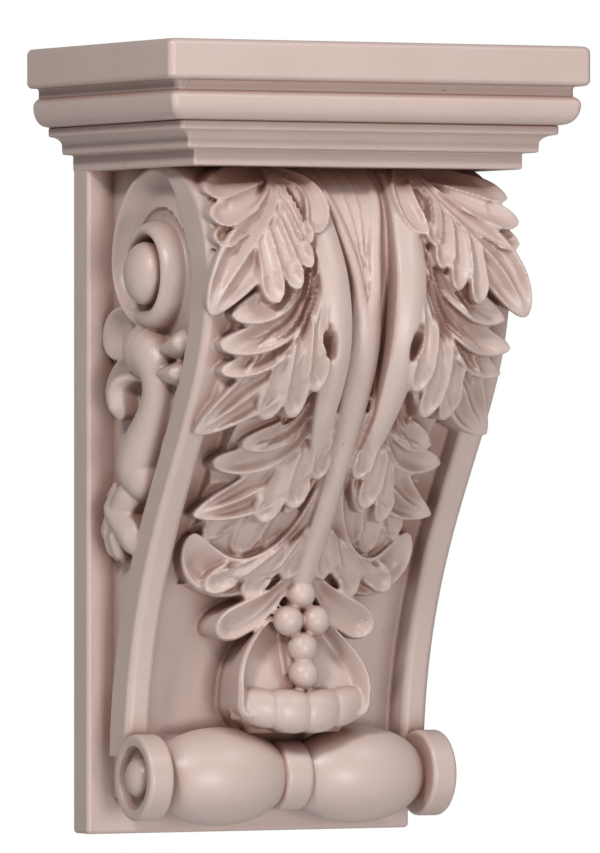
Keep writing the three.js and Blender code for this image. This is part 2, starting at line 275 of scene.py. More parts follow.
@dataclass(frozen=True)
class FrontGround:
    """The carved front: leaves are drawn by places across and heights, and stand out from its line."""

    line: FrontLine
    ground: float = 4.0
    crown: float = 11.0
    sink: float = 24.0
    rest: float = 1.5
    crown_top: Point = (235.0, 312.0)
    crown_foot: Point = (95.0, 172.0)
    shoulder: Point = (44.0, 82.0)
    low_shoulder: Point = (18.0, 68.0)
    edge_share: float = 0.35
    low_edge_share: float = -0.35
    shoulder_turn: Point = (185.0, 232.0)
    ribbon: Point = (74.0, 79.0)
    hole: Point = (24.5, 249.0)
    hole_half: Point = (3.6, 8.0)
    hole_slant: float = 0.25
    hole_deep: float = 14.0

    def pit(self, across: float, height: float) -> float:
        """Give the depth of the teardrop hole beside each upper leaf's rib.

        Args:
            across: How far from the middle.
            height: The height.

        Returns:
            The depth.
        """
        up = height - self.hole[1]
        aside = (abs(across) - self.hole[0] - self.hole_slant * up) / self.hole_half[0]
        along = up / self.hole_half[1]
        return self.hole_deep * held(1.0 - aside**2 - along**2)

    def mound(self, across: float, height: float) -> float:
        """Give how far the leaves' ground stands in front of the ribbons.

        Args:
            across: How far from the middle.
            height: The height.

        Returns:
            The distance.
        """
        rise = (1 - ease(height, *self.crown_top)) * ease(height, *self.crown_foot)
        high = ease(height, *self.shoulder_turn)
        start, end = (mix(low, top, high) for low, top in zip(self.low_shoulder, self.shoulder))
        spread = mix(1.0, mix(self.low_edge_share, self.edge_share, high), ease(abs(across), start, end))
        return self.ground + self.crown * rise * spread

    def lift(self, side: float, across: float, height: float, proud: float) -> Vector:
        """Give a point of a leaf's face, proud of the ground."""
        proud += self.mound(across, height) - self.pit(across, height)
        return place(side * across, self.line.depth(height) + proud, height)

    def root(self, side: float, across: float, height: float) -> Vector:
        """Give the buried point behind a leaf's face, kept within the ribbon where it lies on one."""
        sink = mix(self.sink, self.rest, ease(abs(across), *self.ribbon))
        return place(side * across, self.line.depth(height) - sink, height)


@dataclass(frozen=True)
class SideGround:
    """The side panels: ornament is drawn by depths and heights, and stands out sideways."""

    half: float = 78.0
    buried: float = 68.0

    def lift(self, side: float, depth: float, height: float, proud: float) -> Vector:
        """Give a point of an ornament's face, proud of the panel."""
        return place(side * (self.half + proud), depth, height)

    def root(self, side: float, depth: float, height: float) -> Vector:
        """Give the buried point behind an ornament's face."""
        return place(side * self.buried, depth, height)


@dataclass(frozen=True)
class Lobe:
    """One lobe of a leaf: a tongue along a path, hollowed between raised rims, with a thick end."""

    path: tuple[Point, ...]
    half: float
    rise: Point
    dish: float = 2.2
    flutes: int = 1
    root: float = 0.35
    tip: Tip = Tip.ROUND
    droop: float = 2.5
    emerge: float = 4.0
    lap: float = 0.0
    emerge_span: Point = (0.0, 0.4)
    late_emerge: float = 9.0
    late_span: Point = (0.5, 0.76)
    dish_opens: Point = (0.0, 0.3)
    dish_closes: Point = (0.82, 0.99)
    droop_power: int = 4
    crowding: float = 1.5
    edge: float = 1.6
    rim_line: float = 0.86
    wall_taper: float = 0.78
    wall_end: float = 0.96
    swell_end: float = 0.7
    columns: int = 44
    rows: int = 16

    def breadth(self, share: float) -> float:
        """Give the lobe's half width at a share of its length.

        Args:
            share: How far along the lobe, from 0 to 1.

        Returns:
            The half width.
        """
        swell = self.half * mix(self.root, 1.0, ease(share, 0.0, self.swell_end))
        start, power = self.tip.value
        past = held((share - start) / (1 - start))
        return swell * (1 - past**2) ** power

    def section(self, share: float, across: float) -> float:
        """Give how far the face lies under its rims.

        Args:
            share: How far along the lobe, from 0 to 1.
            across: How far across it, from -1 to 1.

        Returns:
            The fall, in millimetres.
        """
        reach = abs(across) / self.rim_line
        if reach > 1:
            return self.edge * ((reach - 1) / (1 / self.rim_line - 1)) ** 2
        wave = abs(math.sin(math.pi * self.flutes * (across / self.rim_line + 1) / 2))
        return self.dish * wave * ease(share, *self.dish_opens) * (1 - ease(share, *self.dish_closes))

    def carve(self, clay: Clay, ground: FrontGround | SideGround, side: float, late: bool = False) -> None:
        """Press the lobe onto a ground.

        Args:
            clay: Where the lump goes.
            ground: What it stands on.
            side: The half of the corbel, -1 or 1.
            late: Whether it comes out of a leaf's body rather than out of the ground.
        """
        curve = Curve(self.path)
        deep, span = (self.late_emerge, self.late_span) if late else (self.emerge, self.emerge_span)

        def corner(along: float, athwart: float, top: bool) -> Vector:
            """Give one corner's point."""
            share = 1 - (1 - along) ** self.crowding
            across = 2 * athwart - 1
            point, heading = curve.trace(share if top else share * self.wall_end)
            offset = across * self.breadth(share) * (1 if top else self.wall_taper)
            u = point.x - heading.y * offset
            w = point.y + heading.x * offset
            if not top:
                return ground.root(side, u, w)
            proud = mix(*self.rise, share) - self.section(share, across)
            proud -= self.droop * share**self.droop_power
            proud -= deep * (1 - ease(share, *span)) + self.lap * across
            return ground.lift(side, u, w, proud)

        clay.block(self.columns, self.rows * self.flutes, corner)


@dataclass(frozen=True)
class Spread:
    """Lobes side by side, outermost first, whose hollows run back into one fluted body."""

    lobes: tuple[Lobe, ...]
    until: float = 0.94
    part: float = 0.68
    fall: float = 10.0
    margin: float = 0.45
    full_gap: float = 8.5
    gap_power: float = 1.5
    emerge: float = 8.0
    emerge_end: float = 0.3
    columns: int = 60
    rows: int = 16

    def body(self, clay: Clay, ground: FrontGround, side: float) -> None:
        """Press the fluted body, with a sharp ridge between each two lobes.

        Args:
            clay: Where the lump goes.
            ground: What it stands on.
            side: The half of the corbel, -1 or 1.
        """
        last = len(self.lobes) - 1

        def corner(along: float, athwart: float, top: bool) -> Vector:
            """Give one corner's point."""
            share = along * self.until
            flute = mix(-self.margin, last + self.margin, athwart)
            low = min(max(math.floor(flute), 0), last - 1)
            one, two, part = self.lobes[low], self.lobes[low + 1], flute - low
            here, next_one = Curve(one.path).trace(share)[0], Curve(two.path).trace(share)[0]
            point = here.lerp(next_one, part)
            if not top:
                return ground.root(side, point.x, point.y)
            proud = mix(mix(*one.rise, share), mix(*two.rise, share), part)
            hollow = mix(one.dish, two.dish, part) * abs(math.cos(math.pi * flute))
            slant = 2 * mix(one.lap, two.lap, part) * (flute - round(flute))
            proud += (slant - hollow) * held((next_one - here).length / self.full_gap) ** self.gap_power
            proud -= self.emerge * (1 - ease(share, 0.0, self.emerge_end))
            proud -= self.fall * ease(share, self.part, self.until)
            return ground.lift(side, point.x, point.y, proud)

        clay.block(self.columns, self.rows * len(self.lobes), corner)

    def carve(self, clay: Clay, ground: FrontGround, side: float) -> None:
        """Press the body and its lobes onto a ground.

        Args:
            clay: Where the lumps go.
            ground: What they stand on.
            side: The half of the corbel, -1 or 1.
        """
        self.body(clay, ground, side)
        for lobe in self.lobes:
            lobe.carve(clay, ground, side, late=True)


@dataclass
class LeafCarving:
    """The acanthus hanging down the front: a spray, two leaves and a palmette on each half, and a stem."""

    ground: FrontGround
    top: float = 339.0
    bed_foot: float = 112.0
    bed_half: Point = (24.0, 56.0)
    bed_swell: Point = (112.0, 152.0)
    bed_under: Point = (9.0, 10.0)
    bed_sink: Point = (165.0, 215.0)
    bed_dip: float = 9.0
    bed_bank: Point = (-2.0, 5.0)
    field_foot: float = 214.0
    field_half: float = 75.0
    stem_foot: float = 82.0
    stem_depth: float = 71.0
    stem_sunk: float = -4.0
    stem_sinks: Point = (178.0, 235.0)
    stem_half: Point = (6.0, 8.6)
    stem_swells: Point = (170.0, 240.0)
    stem_opening: float = 10.0
    stem_opens: Point = (275.0, 340.0)
    crown: float = 3.5
    notch: float = 0.66
    notch_opens: Point = (255.0, 335.0)
    blade_grows: Point = (0.0, 0.15)
    flute_level: float = 1.5
    flute_waves: float = 1.5
    spray: tuple[Lobe | Spread, ...] = (
        Lobe(((40, 338), (42, 312), (72, 300), (89, 263)), 14, (6, 10), 5, 2, 0.3, Tip.SPOON, 5, 2),
        Spread((
            Lobe(((43, 336), (60, 335), (85, 324)), 6.8, (6, 10), 5, 1, 0.5, lap=1.5),
            Lobe(((46, 328), (62, 316), (87, 312)), 7.0, (6, 11), 5, 1, 0.5, lap=1.5),
            Lobe(((54, 315), (70, 303), (86, 301)), 5.8, (5, 9), 5, 1, 0.5, lap=1.5),
        )),
        Lobe(((41, 336), (25, 338), (20, 318), (33, 305)), 6.6, (7, 12), 6, 1, 0.5),
        Spread((
            Lobe(((59, 312), (61, 293), (57, 269)), 6.0, (9, 13), 4, 1, 0.7, lap=1),
            Lobe(((52, 318), (51, 299), (45, 276)), 5.6, (9, 13), 4, 1, 0.7, lap=1),
            Lobe(((47, 325), (44, 306), (37, 287)), 5.3, (9, 13), 4, 1, 0.7, lap=1),
            Lobe(((43, 331), (40, 314), (35, 299)), 5.0, (9, 12), 4, 1, 0.7, lap=1),
        )),
    )
    upper: tuple[Lobe | Spread, ...] = (
        Spread((
            Lobe(((40, 338), (34, 300), (40, 268), (77, 263)), 8.8, (4, 6), 5, 1, 0.5, Tip.ROUND, 1.5, lap=2),
            Lobe(((36, 338), (28, 285), (38, 250), (82, 248)), 8.4, (5, 7), 7, 1, 0.5, lap=2),
            Lobe(((32, 338), (25, 275), (42, 241), (79, 235)), 7.2, (5, 7), 7, 1, 0.5, lap=2),
            Lobe(
                ((28, 338), (23, 270), (46, 230), (83, 204)), 14.5, (5, 7), 6.5, 2, 0.3, Tip.POINTED, 2, lap=1
            ),
            Lobe(((24, 338), (18, 285), (26, 246), (38, 214)), 6, (5, 5), 4, 1, 0.5),
        )),
        Spread((
            Lobe(((47, 254), (52, 235), (50, 211)), 6.6, (7, 9), 4.5, 1, 0.5),
            Lobe(((38, 264), (42, 240), (37, 212)), 6.6, (7, 9.5), 4.5, 1, 0.5),
            Lobe(((30, 276), (33, 252), (28, 225)), 6.4, (7, 10), 4.5, 1, 0.5),
        )),
        Lobe(((30, 339), (20, 298), (21, 240), (15, 186)), 8.6, (8, 4), -2, 1, 0.9, Tip.POINTED),
    )
    lower: tuple[Lobe | Spread, ...] = (
        Spread((
            Lobe(((22, 250), (19, 215), (28, 202), (54, 199)), 7.0, (-4, 2), 6, 1, 0.5, lap=2),
            Lobe(((19, 245), (16, 205), (30, 188), (65, 190)), 7.6, (-3, 3), 6, 1, 0.5, lap=2),
            Lobe(
                ((16, 240), (13, 200), (24, 174), (68, 163)), 13, (-2, 4), 6.5, 2, 0.3, Tip.POINTED, 2, lap=1
            ),
            Lobe(((13, 238), (10, 206), (13, 186), (22, 164)), 6, (-2, 2), 4, 1, 0.5),
        )),
        Spread((
            Lobe(((27, 198), (33, 180), (33, 159)), 6.5, (3, 6), 4.5, 1, 0.6),
            Lobe(((20, 206), (22, 189), (20, 166)), 6.5, (3, 6), 4.5, 1, 0.6),
            Lobe(((15, 215), (14, 200), (11, 181)), 5.5, (3, 6), 4.5, 1, 0.6),
        )),
        Spread((
            Lobe(((38, 178), (48, 165), (53, 151)), 6.2, (-6, -5), 4.5, 1, 0.6),
            Lobe(((26, 178), (34, 161), (37, 143)), 7.0, (-6, -5), 4.5, 1, 0.6),
            Lobe(((14, 178), (21, 162), (23, 146)), 7.0, (-6, -5), 4.5, 1, 0.6),
        )),
    )
    palmette: tuple[Lobe | Spread, ...] = (
        Lobe(((2, 192), (5, 120), (56, 118), (61, 154)), 10.5, (2, -2), 6, 1, 0.45, Tip.ROUND, 5),
        Spread((
            Lobe(((14, 150), (34, 138), (53, 125)), 6.9, (2, 4), 4, 1, 0.6, lap=1),
            Lobe(((8, 156), (21, 141), (31, 121)), 6.6, (2, 4), 4, 1, 0.6, lap=1),
            Lobe(((2, 166), (6, 150), (11, 130)), 6.0, (2, 3), 4, 1, 0.6, lap=1),
        )),
        Lobe(((6, 132), (20, 112), (45, 104)), 9, (2, 8), 5, 1, 0.4, Tip.ROUND),
    )

    def bed(self, clay: Clay) -> None:
        """Press the plain bed under the lobes, wide above and narrowing to the drop.

        Args:
            clay: Where the lump goes.
        """

        def corner(up: float, athwart: float, top: bool) -> Vector:
            """Give one corner's point."""
            height = mix(self.bed_foot, self.top, up)
            across = (2 * athwart - 1) * mix(*self.bed_half, ease(height, *self.bed_swell))
            if not top:
                return self.ground.root(1.0, across, height)
            under = mix(*self.bed_under, ease(height, *self.bed_sink))
            low, high = (self.channel(height) + bank for bank in self.bed_bank)
            under += self.bed_dip * ease(height, *self.stem_sinks) * (1 - ease(abs(across), low, high))
            return self.ground.lift(1.0, across, height, -under)

        clay.block(columns=60, rows=60, formula=corner)

    def field(self, clay: Clay) -> None:
        """Press the plain field behind the upper leaves, flush with the ribbons.

        Args:
            clay: Where the lump goes.
        """

        def corner(up: float, athwart: float, top: bool) -> Vector:
            """Give one corner's point."""
            height = mix(self.field_foot, self.top, up)
            across = (2 * athwart - 1) * self.field_half
            front = self.ground.line.depth(height)
            return place(across, front if top else front - self.ground.sink, height)

        clay.block(columns=40, rows=4, formula=corner)

    def channel(self, height: float) -> float:
        """Give the stem's half width, which opens like a V under the cap."""
        half = mix(*self.stem_half, ease(height, *self.stem_swells))
        return half + self.stem_opening * ease(height, *self.stem_opens)

    def rib(self, share: float, height: float) -> float:
        """Give the stem's own section.

        Args:
            share: How far across the stem, from -1 to 1.
            height: The height.

        Returns:
            How proud it is of the stem's edges.
        """
        notch = self.notch * ease(height, *self.notch_opens)
        if abs(share) < notch:
            return self.flute_level - self.crown * abs(math.cos(self.flute_waves * math.pi * share / notch))
        across = 2 * (abs(share) - notch) / (1 - notch) - 1
        blade = self.crown * math.sqrt(max(0.0, 1 - across**2))
        return mix(self.crown * (1 - share**2), blade, ease(notch, *self.blade_grows))

    def stem(self, clay: Clay) -> None:
        """Press the stem: a round band that parts into two blades, with small flutes between them.

        Args:
            clay: Where the lump goes.
        """

        def corner(up: float, athwart: float, top: bool) -> Vector:
            """Give one corner's point."""
            height = mix(self.stem_foot, self.top, up)
            share = 2 * athwart - 1
            across = share * self.channel(height)
            if not top:
                return self.ground.root(1.0, across, height)
            level = self.stem_sunk * ease(height, *self.stem_sinks)
            crest = self.ground.lift(1.0, across, height, level + self.rib(share, height))
            crest.y = min(crest.y, -self.stem_depth * MM)
            return crest

        clay.block(columns=110, rows=72, formula=corner)

    def build(self, clay: Clay) -> None:
        """Press the bed, the stem and every lobe on both halves.

        Args:
            clay: Where the lumps go.
        """
        self.bed(clay)
        self.field(clay)
        self.stem(clay)
        for form in self.spray + self.upper + self.lower + self.palmette:
            for side in SIDES:
                form.carve(clay, self.ground, side)


@dataclass
class BeadDrop:
    """Five beads hanging into an open husk whose lip is rolled in lobes."""

    line: FrontLine
    radius: float = 7.8
    depth: float = 72.0
    lowest: float = 82.0
    drop: float = 13.6
    lean: float = 1.2
    pair_gap: float = 0.97
    top: float = 118.0
    foot: float = 52.0
    half: float = 38.0
    sink: float = 24.0
    wall_taper: float = 0.68
    throat: float = 0.05
    belly: float = 0.68
    belly_power: float = 0.85
    foot_tuck: float = 0.5
    rim: Point = (10.0, 31.0)
    rim_end: float = 0.72
    wall: Point = (0.7, 0.97)
    scoop: float = 13.0
    scoop_end: float = 0.85
    scoop_power: float = 0.6
    edge_fall: float = 3.0
    edge_from: float = 0.95
    under_cut: float = 12.0
    lip_half: float = 34.0
    lip_height: float = 63.0
    lip_depth: float = 75.0
    lip_proud: float = 11.5
    lip_tall: float = 11.5
    lip_lobe: float = 17.5
    lip_crease: Point = (0.8, 0.35)
    lip_taper: float = 0.25
    lip_bow: Point = (6.0, 4.0)
    lip_round: float = 0.7
    lip_root: float = 8.0

    def beads(self, clay: Clay) -> None:
        """Press the beads, a pair in the third row.

        Args:
            clay: Where the lumps go.
        """
        pair = self.radius * self.pair_gap
        rows = ((0.0,), (0.0,), (-pair, pair), (0.0,))
        for count, row in enumerate(rows):
            depth = self.depth + self.lean * (len(rows) - count)
            for across in row:
                centre = place(across, depth, self.lowest + count * self.drop)
                clay.ball(centre, Vector((self.radius,) * 3))

    def husk(self, clay: Clay) -> None:
        """Press the scooped husk behind the beads.

        Args:
            clay: Where the lump goes.
        """

        def corner(down: float, athwart: float, top: bool) -> Vector:
            """Give one corner's point."""
            share = 2 * athwart - 1
            spread = math.sin(held(self.throat + down / self.belly) * math.pi / 2) ** self.belly_power
            half = self.half * spread * math.sqrt(1 - self.foot_tuck * ease(down, self.rim_end, 1.0) ** 2)
            height = mix(self.top, self.foot, down)
            front = self.line.depth(height)
            if not top:
                return place(share * half * self.wall_taper, front - self.sink, height)
            rim = mix(*self.rim, ease(down, 0.0, self.rim_end))
            wall = 1 - ease(abs(share), *self.wall) ** 2
            hollow = self.scoop * math.sin(math.pi * held(down / self.scoop_end)) ** self.scoop_power * wall
            shoulder = self.edge_fall * ease(abs(share), self.edge_from, 1.0)
            under = self.under_cut * ease(down, self.scoop_end, 1.0)
            return place(share * half, front + rim - hollow - shoulder - under, height)

        clay.block(columns=60, rows=80, formula=corner)

    def lip(self, clay: Clay) -> None:
        """Press the lip, rolled over in lobes with creases between them.

        Args:
            clay: Where the lump goes.
        """

        def corner(athwart: float, round_share: float, top: bool) -> Vector:
            """Give one corner's point."""
            share = 2 * athwart - 1
            across = share * self.lip_half
            crease, power = self.lip_crease
            lobe = abs(math.sin(math.pi * across / self.lip_lobe)) ** power
            size = mix(crease, 1.0, lobe) * (1 - self.lip_taper * share**2)
            turn = math.pi * (round_share - 0.5)
            back, up = (bow * share**2 for bow in self.lip_bow)
            height = self.lip_height + up + size * self.lip_tall * math.sin(turn)
            proud = size * self.lip_proud * math.cos(turn) ** self.lip_round if top else -self.lip_root
            return place(across, self.lip_depth - back + proud, height)

        clay.block(columns=140, rows=24, formula=corner)

    def build(self, clay: Clay) -> None:
        """Press husk, lip and beads.

        Args:
            clay: Where the lumps go.
        """
        self.husk(clay)
        self.lip(clay)
        self.beads(clay)


@dataclass
class Scroll:
    """A ribbon that sways up one side of the corbel and winds into a volute with a round eye."""

    line: FrontLine
    inner: float = 72.0
    outer: float = 86.0
    thick: float = 21.0
    front_arris: float = 3.0
    back_arris: float = 2.0
    wind: float = 3.0 * math.pi
    start: float = -0.08
    open_end: float = 0.95
    buried: float = 68.0
    rim: Point = (0.9, 0.14)
    rim_narrows: Point = (0.0, 1.6)
    rim_arris: float = 1 / 12
    trough: float = 8.0
    trough_skew: float = 0.8
    trough_power: float = 0.9
    trough_end: float = 0.75
    floor_share: float = 0.93
    roll_power: float = 0.6
    roll_proud: float = 12.5
    roll_from: float = 1.0 * math.pi
    roll_full: float = 1.5 * math.pi
    roll_ends: float = 2.55 * math.pi
    eye_groove: float = 16.5
    last_turn: float = 3.0
    eye_radius: float = 16.0
    eye_proud: float = 10.0
    eye_seat: float = 88.0

    def ribbon(self, clay: Clay, side: float) -> None:
        """Press the swaying part, with its front arrises rounded.

        Args:
            clay: Where the lump goes.
            side: The half of the corbel, -1 or 1.
        """

        def corner(along: float, back: float, top: bool) -> Vector:
            """Give one corner's point."""
            point, _ = self.line.sway.trace(along)
            front = held(1 - back * self.thick / self.front_arris) ** 2 * self.front_arris
            rear = held(1 - (1 - back) * self.thick / self.back_arris) ** 2 * self.back_arris
            across = self.outer - front - rear if top else self.inner + front
            return place(side * across, point.x - back * self.thick, point.y)

        clay.block(columns=90, rows=24, formula=corner)

    def face(self, share: float, angle: float) -> float:
        """Give how far out the volute's face is.

        Args:
            share: How far in from the turn's outer edge, from 0 to 1.
            angle: How far the spiral has wound.

        Returns:
            The place across, in millimetres.
        """
        rim = mix(*self.rim, ease(angle, *self.rim_narrows))
        arris = self.front_arris * held(1 - share / self.rim_arris) ** 2
        inward = held((share - rim) / (1 - rim))
        hollow = self.floor_share
        if inward < self.trough_end:
            hollow = math.sin(math.pi * inward**self.trough_skew) ** self.trough_power
        banded = self.outer - arris - self.trough * hollow
        rolled = self.outer - self.trough + self.roll_proud * (1 - (2 * share - 1) ** 2) ** self.roll_power
        return mix(banded, rolled, ease(angle, self.roll_from, self.roll_full))

    def volute(self, clay: Clay, side: float) -> None:
        """Press the winding turn, hollowed outside and rolled towards the eye.

        Args:
            clay: Where the lump goes.
            side: The half of the corbel, -1 or 1.
        """

        def corner(along: float, inward: float, top: bool) -> Vector:
            """Give one corner's point."""
            angle = mix(self.start, self.wind, along)
            last = self.eye_groove + self.last_turn
            outside = mix(self.line.spiral(angle), last, ease(angle, self.roll_ends, self.wind))
            band = outside - self.thick
            inner = self.line.spiral(angle + 2 * math.pi)
            inner = mix(inner, self.eye_groove, ease(angle, self.line.ring_from, self.line.ring_full))
            inside = mix(band, inner, ease(angle, 0.0, self.open_end))
            reach = mix(outside, inside, inward)
            depth = self.line.centre[0] + reach * math.cos(angle)
            height = self.line.centre[1] + reach * math.sin(angle)
            return place(side * (self.face(inward, angle) if top else self.buried), depth, height)

        clay.block(columns=220, rows=36, formula=corner)

    def eye(self, clay: Clay, side: float) -> None:
        """Press the round eye."""
        centre = place(side * self.eye_seat, *self.line.centre)
        clay.ball(centre, Vector((self.eye_proud, self.eye_radius, self.eye_radius)))

    def build(self, clay: Clay) -> None:
        """Press the ribbon, volute and eye on both sides.

        Args:
            clay: Where the lumps go.
        """
        for side in SIDES:
            self.ribbon(clay, side)
            self.volute(clay, side)
            self.eye(clay, side)


@dataclass
class SideOrnament:
    """A fleshy stalk, curled leaves and a bud on each side panel, under the volute."""

    ground: SideGround = SideGround()
    leaves: tuple[Lobe, ...] = (
        Lobe(((94, 246), (52, 264), (16, 250)), 14, (2, 9), 8, 1, 0.4),
        Lobe(((74, 246), (96, 246), (112, 252)), 7, (3, 8), -5),
        Lobe(((76, 236), (92, 232), (108, 236)), 6, (4, 8), -5),
        Lobe(((84, 208), (98, 216), (106, 228)), 6, (3, 7), 2),
        Lobe(((70, 184), (84, 194), (92, 206)), 6, (3, 6), 2),
        Lobe(((66, 244), (38, 242), (22, 218)), 8, (6, 9), 3),
        Lobe(((62, 232), (42, 236), (34, 222), (48, 212)), 6.5, (10, 13), -4),
        Lobe(((52, 214), (42, 206), (34, 196)), 6, (3, 6), 2),
    )
    bud: tuple[Lobe, ...] = (
        Lobe(((60, 180), (42, 174), (22, 144)), 11, (8, 9), -5, 1, 0.7),
        Lobe(((26, 176), (38, 160), (60, 146)), 9, (11, 10), -4, 1, 0.7),
        Lobe(((44, 158), (37, 150), (35, 138)), 4, (14, 6), -3),
        Lobe(((36, 160), (29, 152), (27, 139)), 4, (13, 6), -3),
    )
    stalk: Curve = Curve(((62, 246), (86, 244), (84, 208), (40, 190), (58, 182)))
    stalk_girth: float = 12.5
    stalk_swell: float = 2.0
    stalk_waves: float = 2.5
    stalk_seat: float = 79.0
    stalk_steps: int = 22

    def gourd(self, clay: Clay, side: float) -> None:
        """Press the fleshy stalk: a head, a neck and a curled bulb.

        Args:
            clay: Where the lumps go.
            side: The half of the corbel, -1 or 1.
        """
        for step in range(self.stalk_steps + 1):
            share = step / self.stalk_steps
            point, _ = self.stalk.trace(share)
            girth = self.stalk_girth + self.stalk_swell * math.cos(self.stalk_waves * math.pi * share)
            clay.ball(place(side * self.stalk_seat, point.x, point.y), Vector((girth, girth, girth)))

    def build(self, clay: Clay) -> None:
        """Press every leaf, bud and stalk on both sides.

        Args:
            clay: Where the lumps go.
        """
        for side in SIDES:
            for lobe in self.leaves + self.bud:
                lobe.carve(clay, self.ground, side)
            self.gourd(clay, side)


@dataclass
class Core:
    """The sunk panel between the ribbons and the body behind it."""

    line: FrontLine
    half: float = 78.0
    foot: float = 18.0
    saddle: float = 43.0
    saddle_top: Point = (45.0, 49.0)
    front_top: float = 336.0
    top: float = 342.0
    back: float = 8.0
    sunk: float = 16.0

    def build(self, clay: Clay) -> None:
        """Press the body as a slab whose front follows the line.

        Args:
            clay: Where the lump goes.
        """

        def corner(up: float, athwart: float, top: bool) -> Vector:
            """Give one corner's point."""
            height = mix(self.foot, self.top, up)
            front = self.line.depth(min(height, self.front_top)) - self.sunk
            front = mix(self.saddle, front, ease(height, *self.saddle_top))
            return place((2 * athwart - 1) * self.half, front if top else self.back, height)

        clay.block(columns=120, rows=4, formula=corner)


@dataclass
class Cap:
    """The moulded cap: a fascia over an ovolo, a cove and a fillet, mitred round three sides."""

    foot: float = 338.0
    half: float = 93.0
    depth: float = 139.0
    corner: Point = (1.2, 3.4)
    corner_grows: Point = (0.0, 26.0)
    corner_steps: int = 6

    def profile(self) -> list[Point]:
        """Give the moulding's places out and up, from the foot to the top.

        Returns:
            The places.
        """

        def arc(centre: Point, radii: Point, start: float, end: float, count: int) -> list[Point]:
            """Give points round an arc."""
            turns = [math.radians(mix(start, end, i / count)) for i in range(count + 1)]
            return [(centre[0] + radii[0] * math.cos(t), centre[1] + radii[1] * math.sin(t)) for t in turns]

        fillet = arc((-1.2, 1.2), (1.2, 1.2), -90, 0, 3) + [(0.0, 7.6), (0.6, 8.2), (4.6, 8.4)]
        lip = arc((4.9, 9.8), (1.4, 1.4), -90, 0, 4)
        cove = arc((13.0, 12.6), (6.7, 4.7), 180, 92, 9)
        bead = arc((13.0, 18.4), (0.9, 0.9), -80, 0, 3) + arc((13.0, 21.2), (0.9, 0.9), 0, 80, 3)
        ovolo = arc((15.4, 32.6), (7.2, 10.1), -88, 0, 12) + arc((15.4, 32.6), (7.2, 5.0), 8, 58, 6)
        groove = [(19.6, 37.4), (19.4, 39.0), (19.6, 41.0), (20.4, 41.9)]
        fascia = arc((23.2, 44.7), (2.8, 2.8), -90, 0, 5) + arc((22.8, 58.8), (3.2, 3.2), 0, 90, 6)
        return fillet + lip + cove + bead + ovolo + groove + fascia

    def ring(self, out: float) -> list[Point]:
        """Give the plan of one layer: places across and depths round a rounded oblong, open at the wall.

        Args:
            out: How far the layer overhangs.

        Returns:
            The corners in order from the back on one side.
        """
        radius = mix(*self.corner, ease(out, *self.corner_grows))
        half, depth = self.half + out, self.depth + out
        quarter = [i / self.corner_steps * math.pi / 2 for i in range(self.corner_steps + 1)]
        inner, near = half - radius, depth - radius
        right = [(half, 0.0)] + [(inner + radius * math.cos(t), near + radius * math.sin(t)) for t in quarter]
        return right + [(-across, deep) for across, deep in reversed(right)]

    def build(self) -> bpy.types.Object:
        """Make the cap as a closed piece.

        Returns:
            The cap.
        """
        profile = self.profile()
        rings = [self.ring(out) for out, _ in profile]
        spokes, layers = len(rings[0]), len(profile) - 1
        lump = bmesh.new()
        bmesh.ops.create_grid(lump, x_segments=spokes, y_segments=layers, size=0.5)
        for corner in lump.verts:
            spoke = round((corner.co.x + 0.5) * spokes) % spokes
            layer = round((corner.co.y + 0.5) * layers)
            corner.co = place(*rings[layer][spoke], self.foot + profile[layer][1])
        bmesh.ops.remove_doubles(lump, verts=lump.verts[:], dist=1e-7)
        bmesh.ops.holes_fill(lump, edges=[edge for edge in lump.edges if edge.is_boundary], sides=0)
        bmesh.ops.recalc_face_normals(lump, faces=lump.faces[:])
        return piece_of(lump, "cap")


@dataclass
class BackPlate:
    """The flat plate against the wall."""

    half: float = 92.5
    depth: float = 16.0
    top: float = 341.0
    arris: float = 2.2

    def build(self) -> bpy.types.Object:
        """Make the plate with its front arrises rounded.

        Returns:
            The plate.
        """
        lump = bmesh.new()
        bmesh.ops.create_cube(lump, size=1.0)
        bmesh.ops.scale(lump, vec=Vector((2 * self.half, self.depth, self.top)) * MM, verts=lump.verts[:])
        bmesh.ops.translate(lump, vec=place(0, self.depth / 2, self.top / 2), verts=lump.verts[:])
        fronts = [e for e in lump.edges if any(v.co.y < -self.depth * MM / 2 for v in e.verts)]
        bmesh.ops.bevel(
            lump, geom=fronts, offset=self.arris * MM, segments=4, profile=0.5, affect="EDGES", material=-1
        )
        bmesh.ops.recalc_face_normals(lump, faces=lump.faces[:])
        return piece_of(lump, "plate")


